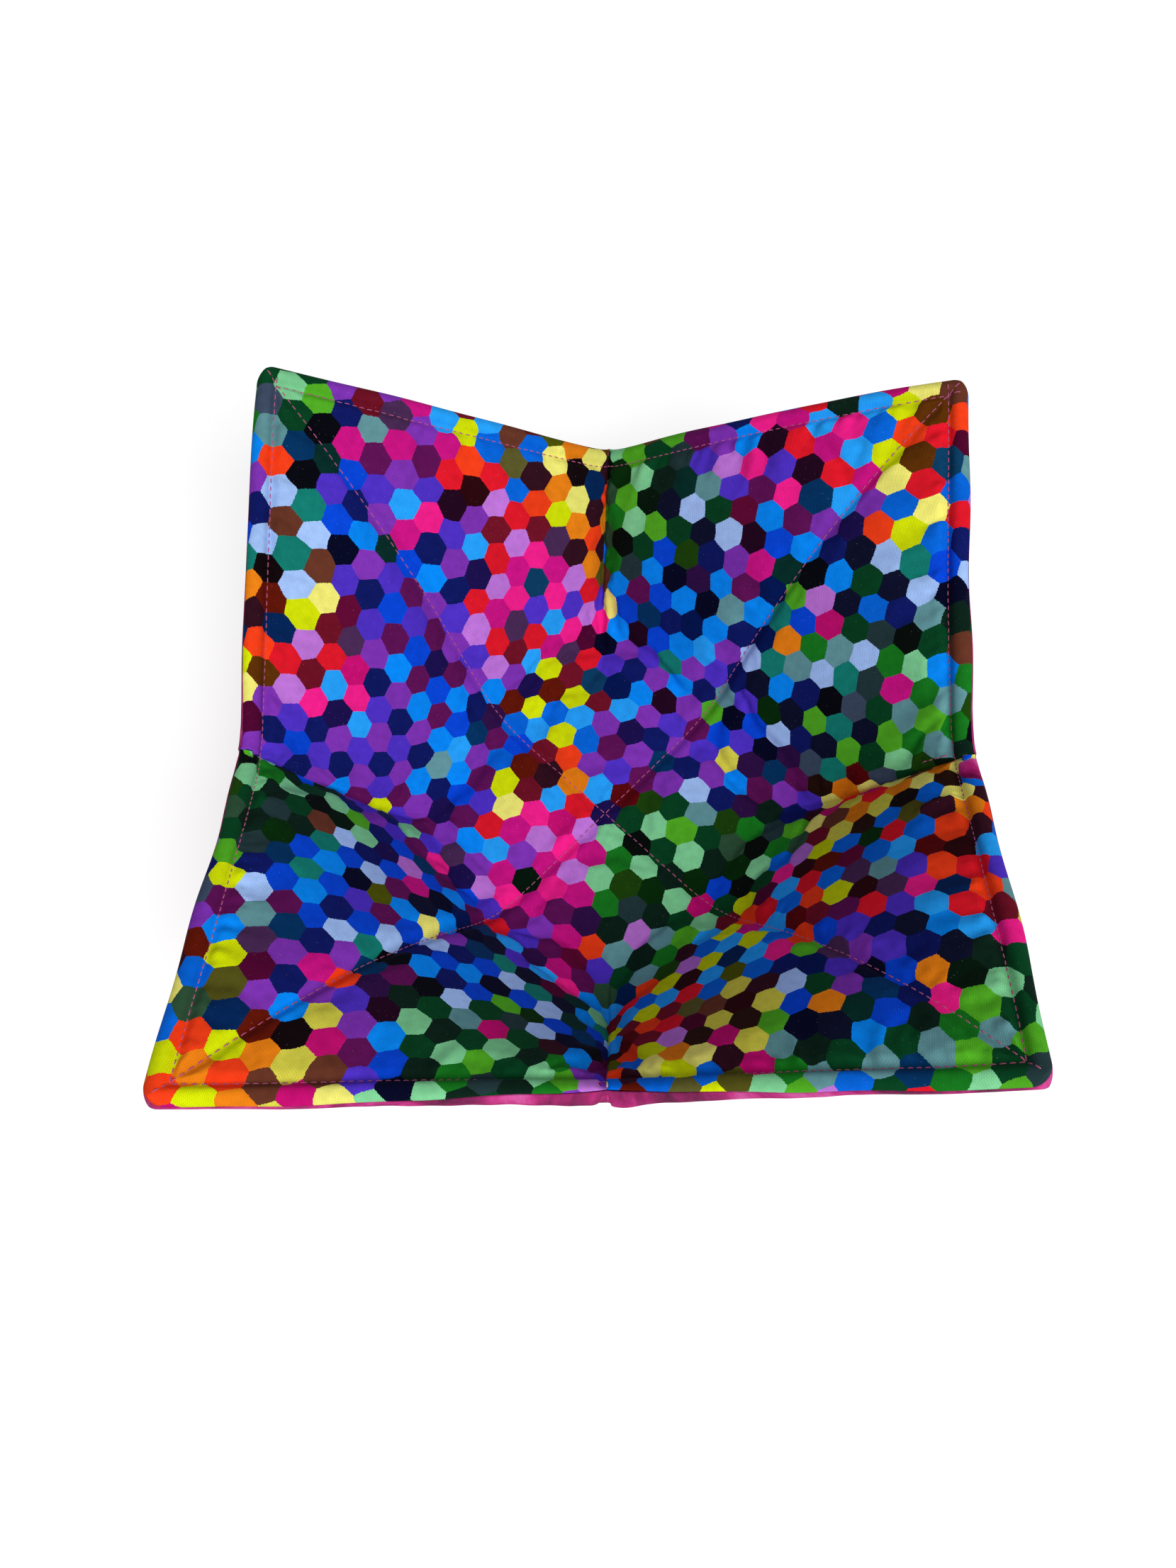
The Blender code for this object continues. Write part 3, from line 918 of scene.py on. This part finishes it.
def hexagon_dye(tree, centre, spread_chance, any_chance, stray_chance):
    """A hexagon's colour: a dye near its field's, or now and then any dye."""
    spread = calculate(tree, "MULTIPLY_ADD", spread_chance, DYE_WINDOW, -DYE_WINDOW / 2)
    own = calculate(tree, "ADD", field_dye(tree, centre), spread)
    any_dye = calculate(tree, "MULTIPLY", any_chance, float(len(DYES)))
    strays = calculate(tree, "LESS_THAN", stray_chance, STRAY_SHARE)
    dye = mix(tree, "FLOAT", strays, own, any_dye)
    row = calculate(tree, "FLOOR", calculate(tree, "DIVIDE", dye, DYES_IN_ROW))
    dye = calculate(tree, "MULTIPLY_ADD", row, DYES_IN_ROW, neighbour_class(tree, centre))
    dye = calculate(tree, "ADD", dye, len(DYES) + 0.5)
    share = calculate(tree, "FRACT", calculate(tree, "DIVIDE", dye, float(len(DYES))))
    ramp = node(tree, "ShaderNodeValToRGB", {0: share})
    ramp.color_ramp.interpolation = "CONSTANT"
    elements = ramp.color_ramp.elements
    for number, colour in enumerate(DYES):
        element = elements[number] if number < 2 else elements.new(number / len(DYES))
        element.position = number / len(DYES)
        element.color = colour
    return ramp.outputs["Color"]


def print_cotton():
    """Cotton printed with a mosaic of hexagons, whose dyes gather in fields and stray a little."""
    material, tree, shader = new_material("print_cotton")
    place = flat_cloth(tree)
    centre = mosaic_centre(tree, place)
    other = vector(tree, "ADD", centre, CHANCE_SHIFT)
    chance = node(tree, "ShaderNodeTexWhiteNoise", {"Vector": other}, noise_dimensions="3D")
    chances = node(tree, "ShaderNodeSeparateColor", {0: chance.outputs["Color"]}).outputs
    dye = hexagon_dye(tree, centre, chance.outputs["Value"], chances[0], chances[1])

    weave = woven(tree, place)
    patch = noise(tree, place, scale=420.0, detail=3.0).outputs["Fac"]
    bare = calculate(tree, "MULTIPLY", calculate(tree, "MULTIPLY", weave, patch), WEAR)
    worn = vector(tree, "ADD", scaled_colour(tree, dye, WORN_GAIN), (WORN_LIFT, WORN_LIFT, WORN_LIFT))
    colour = mix(tree, "RGBA", bare, dye, worn)

    shade = calculate(tree, "MULTIPLY_ADD", chances[2], SHADE_RANGE, SHADE_LEAST)
    dark = calculate(tree, "LESS_THAN", chances[2], DARK_SHARE)
    shade = calculate(tree, "MULTIPLY", shade, calculate(tree, "MULTIPLY_ADD", dark, -DARK_DROP, 1.0))
    clouds = noise(tree, place, scale=90.0, detail=3.0).outputs["Fac"]
    cloudy = calculate(tree, "MULTIPLY_ADD", clouds, CLOUD_RANGE, CLOUD_LEAST)
    colour = scaled_colour(tree, colour, calculate(tree, "MULTIPLY", shade, cloudy))

    fibres = noise(tree, place, scale=2400.0, detail=1.0).outputs["Fac"]
    specks = map_range(tree, fibres, (0.74, 0.8), (0.0, 0.22))
    colour = mix(tree, "RGBA", specks, colour, srgb(225, 220, 225))

    ragged = scatter(tree, place, scale=260.0, detail=2.0, reach=PATCH_RAGGEDNESS)
    ragged = vector(tree, "ADD", place, ragged)
    turned_over = calculate(tree, "LESS_THAN", vector(tree, "DISTANCE", ragged, PATCH_PLACE), PATCH_RADIUS)
    colour = mix(tree, "RGBA", turned_over, colour, marbled(tree, place))
    set_inputs(tree, shader, {
        "Base Color": colour, "Roughness": 0.9, "Specular IOR Level": 0.06,
        "Sheen Weight": 0.015, "Sheen Roughness": 0.3,
    })
    cloth_bump(tree, shader, place, weave)
    return material


def plum_cotton():
    """Cotton with a marbled magenta and plum dye."""
    material, tree, shader = new_material("plum_cotton")
    place = flat_cloth(tree)
    weave = woven(tree, place)
    fibres = noise(tree, place, scale=700.0, detail=3.0).outputs["Fac"]
    bare = calculate(tree, "MULTIPLY", calculate(tree, "MULTIPLY", weave, fibres), PLUM_WEAR)
    colour = mix(tree, "RGBA", bare, marbled(tree, place), srgb(240, 170, 215))
    set_inputs(tree, shader, {
        "Base Color": colour, "Roughness": 0.9, "Specular IOR Level": 0.1,
        "Sheen Weight": 0.05, "Sheen Roughness": 0.3,
    })
    cloth_bump(tree, shader, place, weave)
    return material


def cotton_batting():
    """Loose white cotton fibre."""
    material, tree, shader = new_material("cotton_batting")
    place = node(tree, "ShaderNodeTexCoord").outputs["Object"]
    tufts = noise(tree, place, scale=220.0, detail=6.0, roughness=0.7, distortion=1.5).outputs["Fac"]
    colour = mix(tree, "RGBA", tufts, srgb(222, 216, 202), srgb(250, 247, 238))
    set_inputs(tree, shader, {"Base Color": colour, "Roughness": 0.95, "Sheen Weight": 0.3})
    add_bump(tree, shader, tufts, distance=0.0004, strength=0.8)
    return material


def pink_thread():
    """Twisted dark pink sewing thread, paler on the crest of each twist as a painted highlight."""
    material, tree, shader = new_material("pink_thread")
    uv = node(tree, "ShaderNodeUVMap", uv_map="pattern").outputs["UV"]
    parts = node(tree, "ShaderNodeSeparateXYZ", {0: uv})
    slanted = calculate(tree, "ADD", parts.outputs[0], parts.outputs[1])
    twist_and_highlight = calculate(tree, "SINE", calculate(tree, "MULTIPLY", slanted, 2 * math.pi / TWIST))
    twist_and_highlight = calculate(tree, "MULTIPLY_ADD", twist_and_highlight, 0.5, 0.5)
    # Painted highlight: the dark pink thread turns paler pink on each twist's crest, following the same wave
    # as the bump
    colour = mix(tree, "RGBA", twist_and_highlight, srgb(140, 36, 88), srgb(208, 100, 150))
    set_inputs(tree, shader, {"Base Color": colour, "Roughness": 0.55, "Sheen Weight": 0.2})
    add_bump(tree, shader, twist_and_highlight, distance=0.00006, strength=0.6)
    return material


def topstitch_runs():
    """The rows round the edge. Three of them run on a little past where they cross."""
    line = HALF - TOPSTITCH_INSET
    return [
        [(-line, -line), (-line, line + LEFT_OVERRUN)],
        [(-line - BACK_START[0], line - BACK_START[1]), (line + BACK_OVERRUN, line)],
        [(line, line + RIGHT_OVERRUN), (line, -line)],
        [(line, -line), (-line, -line)],
    ]


def dart_run():
    """A few closing stitches beside the outer end of the right-hand dart."""
    start = (HALF - DART_ROW_START, DART_ROW_ASIDE)
    end = (HALF - DART_ROW_END, DART_ROW_ASIDE * DART_ROW_SPREAD)
    return [[start, end]]


def quilting_run(slant):
    reach = HALF - QUILTING_END
    return [[(-reach, -slant * reach), (0.0, 0.0), (reach, slant * reach)]]


def build_pieces():
    cotton_print = print_cotton()
    plum = plum_cotton()
    batting = cotton_batting()
    thread = pink_thread()
    inner_relief = simulated_relief("inner_cloth", 1)
    outer_relief = simulated_relief("outer_cloth", -1)

    inner_cover = cover("inner_cover", 1, inner_relief, cotton_print)
    outer_cover = cover("outer_cover", -1, outer_relief, plum)
    inner_pad = pad("inner_pad", 1, inner_relief, batting)
    outer_pad = pad("outer_pad", -1, outer_relief, batting)
    upper_runs = topstitch_runs() + dart_run()
    lower_runs = quilting_run(1) + quilting_run(-1)
    needle = stitches("topstitch_needle_stitches", 1, upper_runs, inner_relief, thread, seed=21)
    bobbin = stitches("topstitch_bobbin_stitches", -1, topstitch_runs(), outer_relief, thread, seed=22)
    rising = stitches("quilting_stitches_rising", 1, quilting_run(1), inner_relief, thread, seed=23)
    falling = stitches("quilting_stitches_falling", 1, quilting_run(-1), inner_relief, thread, seed=24)
    stitches("outer_quilting_stitches", -1, lower_runs, outer_relief, thread, seed=25)

    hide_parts("inner_panel")
    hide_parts("outer_panel")
    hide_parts("inner_batting")
    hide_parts("outer_batting")
    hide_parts("topstitch_needle_thread")
    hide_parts("topstitch_bobbin_thread")
    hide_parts("quilting_thread_rising")
    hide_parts("quilting_thread_falling")


# Studio
CAMERA_ELEVATION = 66.63
CAMERA_ROLL = -1.1
CAMERA_DISTANCE = 0.36467
CAMERA_ACROSS = -0.00499
CAMERA_UP = 0.01129
PHOTO_LONG_SIDE = 2212
PHOTO_FOCAL = 1660
SENSOR = 36.0
CLIP_START = 0.01
FLOOR_SIZE = 12.0
FLOOR_GAP = 0.0002
FLOOR_TONE = 0.6
FLOOR_LIFT = 0.6
FAR_FLOOR_LIFT = 0.85
FLOOR_LIFT_START = 0.25
FLOOR_LIFT_END = 1.6
WORLD_LIGHT = 0.35
KEY_LIGHT = 0.82
KEY_TOWARD = (0.38, -0.72, 1.0)
KEY_DISTANCE = 1.6
KEY_SIZE = 1.1


def aimed_matrix(right, upward, backward, place):
    axes = np.stack([right, upward, backward, place], axis=1).tolist()
    return Matrix(axes + [[0.0, 0.0, 0.0, 1.0]])


def add_camera():
    elevation, roll = math.radians(CAMERA_ELEVATION), math.radians(CAMERA_ROLL)
    back = np.array([0.0, -math.cos(elevation), math.sin(elevation)])
    right = np.array([1.0, 0.0, 0.0])
    up = np.cross(back, right)
    place = back * CAMERA_DISTANCE + right * CAMERA_ACROSS + up * CAMERA_UP
    data = bpy.data.cameras.new("camera")
    data.sensor_width = SENSOR
    data.lens = PHOTO_FOCAL * SENSOR / PHOTO_LONG_SIDE
    data.clip_start = CLIP_START
    camera = bpy.data.objects.new("camera", data)
    bpy.context.scene.collection.objects.link(camera)
    rolled_right = right * math.cos(roll) + up * math.sin(roll)
    rolled_up = up * math.cos(roll) - right * math.sin(roll)
    camera.matrix_world = aimed_matrix(rolled_right, rolled_up, back, place)
    bpy.context.scene.camera = camera


def add_key_light():
    """A broad lamp, high on the camera's side and a little to the right."""
    toward = np.array(KEY_TOWARD)
    toward /= np.linalg.norm(toward)
    data = bpy.data.lights.new("key", "AREA")
    data.shape = "DISK"
    data.size = KEY_SIZE
    data.energy = KEY_LIGHT * math.pi**2 * KEY_DISTANCE**2
    light = bpy.data.objects.new("key", data)
    bpy.context.scene.collection.objects.link(light)
    right = np.cross([0.0, 1.0, 0.0], toward)
    right /= np.linalg.norm(right)
    light.matrix_world = aimed_matrix(right, np.cross(toward, right), toward, toward * KEY_DISTANCE)


def add_world():
    """Even light all round, and white where the camera looks past the floor."""
    world = bpy.data.worlds.new("studio")
    world.use_nodes = True
    bpy.context.scene.world = world
    tree = world.node_tree
    rays = node(tree, "ShaderNodeLightPath")
    seen = calculate(tree, "MAXIMUM", rays.outputs["Is Camera Ray"], rays.outputs["Is Glossy Ray"])
    seen = calculate(tree, "MAXIMUM", seen, rays.outputs["Is Transmission Ray"])
    strength = calculate(tree, "MULTIPLY_ADD", seen, 1.0 - WORLD_LIGHT, WORLD_LIGHT)
    background = tree.nodes["Background"]
    background.inputs["Color"].default_value = (1.0, 1.0, 1.0, 1.0)
    tree.links.new(strength, background.inputs["Strength"])


def add_floor():
    """A white floor that keeps a soft shadow near the object and fades to pure white far off."""
    mesh = bpy.data.meshes.new("floor")
    reach = FLOOR_SIZE / 2
    corners = [(-reach, -reach), (reach, -reach), (reach, reach), (-reach, reach)]
    mesh.from_pydata([(x, y, -FLOOR_GAP) for x, y in corners], [], [(0, 1, 2, 3)])
    material, tree, shader = new_material("floor")
    set_inputs(tree, shader, {
        "Base Color": (FLOOR_TONE, FLOOR_TONE, FLOOR_TONE, 1.0), "Roughness": 1.0,
        "Specular IOR Level": 0.0, "Emission Color": (1.0, 1.0, 1.0, 1.0),
    })
    rays = node(tree, "ShaderNodeLightPath")
    place = node(tree, "ShaderNodeTexCoord").outputs["Object"]
    distance = vector(tree, "LENGTH", place)
    far = map_range(tree, distance, (FLOOR_LIFT_START, FLOOR_LIFT_END), (0.0, 1.0))
    lift = calculate(tree, "MULTIPLY_ADD", far, FAR_FLOOR_LIFT - FLOOR_LIFT, FLOOR_LIFT)
    lifted = calculate(tree, "MULTIPLY", rays.outputs["Is Camera Ray"], lift)
    tree.links.new(lifted, shader.inputs["Emission Strength"])
    mesh.materials.append(material)
    floor = bpy.data.objects.new("floor", mesh)
    bpy.context.scene.collection.objects.link(floor)


build_pieces()
add_camera()
add_key_light()
add_world()
add_floor()
bpy.context.scene.view_settings.view_transform = "Standard"
